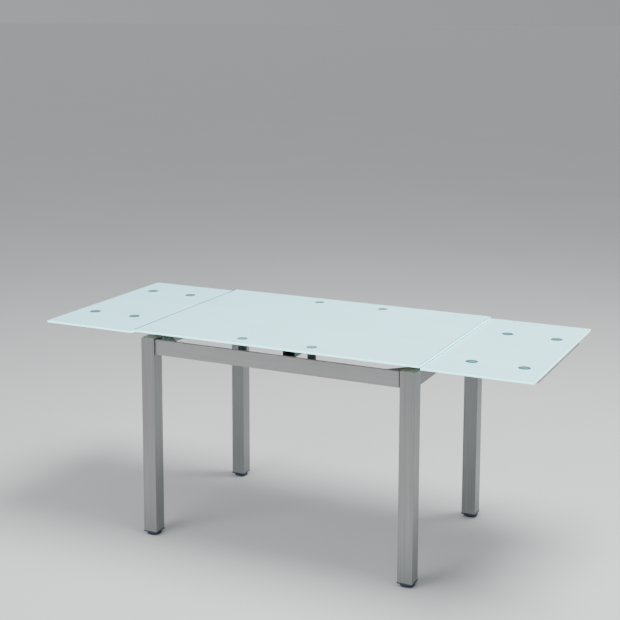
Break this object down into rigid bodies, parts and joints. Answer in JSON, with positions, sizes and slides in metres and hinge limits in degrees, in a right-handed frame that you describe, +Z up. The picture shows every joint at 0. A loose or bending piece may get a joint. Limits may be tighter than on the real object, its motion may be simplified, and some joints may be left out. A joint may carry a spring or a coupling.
{
  "type": "extendable dining table",
  "caption": "Rectangular glass dining table on a square-tube metal leg frame, with a glass leaf that pulls out on rails from under each end of the centre panel.",
  "frame": {"origin": "on the floor, under the middle of the table, leaves pulled out", "axes": "+X along the table towards the right leaf, +Z up, the front long side faces -Y"},
  "size_m": [1.823, 0.75, 0.76],
  "materials": {
    "silver_paint": "satin silver grey paint",
    "centre_glass": "toughened glass, back painted pale aqua white",
    "leaf_glass": "toughened glass, back painted pale aqua white",
    "cap_plastic": "moulded, fine texture",
    "foot_plastic": "moulded, fine texture",
    "black_nylon": "moulded nylon",
    "dark_steel": "satin dark grey paint",
    "bar_aluminium": "satin anodised",
    "zinc_steel": "zinc plated",
    "disc_steel": "fine brushed"
  },
  "bodies": {
    "frame": {"leg_front_left": "silver_paint", "leg_front_right": "silver_paint", "leg_back_left": "silver_paint", "leg_back_right": "silver_paint", "leg_top_caps": "cap_plastic", "foot_inserts": "foot_plastic", "apron_front": "silver_paint", "apron_back": "silver_paint", "apron_right": "silver_paint", "apron_left": "silver_paint", "corner_gussets": "zinc_steel", "gusset_bolts": "zinc_steel", "center_beam": "dark_steel", "support_brackets": "dark_steel", "support_posts": "dark_steel", "post_screws": "zinc_steel", "center_discs": "disc_steel", "glass_center": "centre_glass", "channel_right_front": "zinc_steel", "channel_right_back": "zinc_steel", "channel_left_front": "zinc_steel", "channel_left_back": "zinc_steel", "rail_keepers": "black_nylon", "stop_studs": "zinc_steel"},
    "right_carriage": {"rail_right_front": "zinc_steel", "rail_right_back": "zinc_steel", "rail_plugs_right": "black_nylon", "end_bar_right": "bar_aluminium", "tie_strip_right": "zinc_steel", "lift_pads_right": "dark_steel"},
    "right_leaf": {"lift_pins_right": "zinc_steel", "leaf_discs_right": "disc_steel", "glass_leaf_right": "leaf_glass"},
    "left_carriage": {"rail_left_front": "zinc_steel", "rail_left_back": "zinc_steel", "rail_plugs_left": "black_nylon", "end_bar_left": "bar_aluminium", "tie_strip_left": "zinc_steel", "lift_pads_left": "dark_steel"},
    "left_leaf": {"lift_pins_left": "zinc_steel", "leaf_discs_left": "disc_steel", "glass_leaf_left": "leaf_glass"},
    "foot_fl": {"foot_front_left": "foot_plastic"},
    "foot_fr": {"foot_front_right": "foot_plastic"},
    "foot_bl": {"foot_back_left": "foot_plastic"},
    "foot_br": {"foot_back_right": "foot_plastic"}
  },
  "joints": [
    {"name": "right_leaf_slide", "type": "slide", "parent": "frame", "child": "right_carriage", "axis": [1, 0, 0], "range_m": [-0.3715, 0]},
    {"name": "left_leaf_slide", "type": "slide", "parent": "frame", "child": "left_carriage", "axis": [-1, 0, 0], "range_m": [-0.3715, 0]},
    {"name": "right_leaf_lift", "type": "slide", "parent": "right_carriage", "child": "right_leaf", "axis": [0, 0, 1], "range_m": [0, 0.0064]},
    {"name": "left_leaf_lift", "type": "slide", "parent": "left_carriage", "child": "left_leaf", "axis": [0, 0, 1], "range_m": [0, 0.0064]},
    {"name": "foot_front_left_level", "type": "slide", "parent": "frame", "child": "foot_fl", "axis": [0, 0, 1], "range_m": [-0.01, 0]},
    {"name": "foot_front_right_level", "type": "slide", "parent": "frame", "child": "foot_fr", "axis": [0, 0, 1], "range_m": [-0.01, 0]},
    {"name": "foot_back_left_level", "type": "slide", "parent": "frame", "child": "foot_bl", "axis": [0, 0, 1], "range_m": [-0.01, 0]},
    {"name": "foot_back_right_level", "type": "slide", "parent": "frame", "child": "foot_br", "axis": [0, 0, 1], "range_m": [-0.01, 0]}
  ]
}
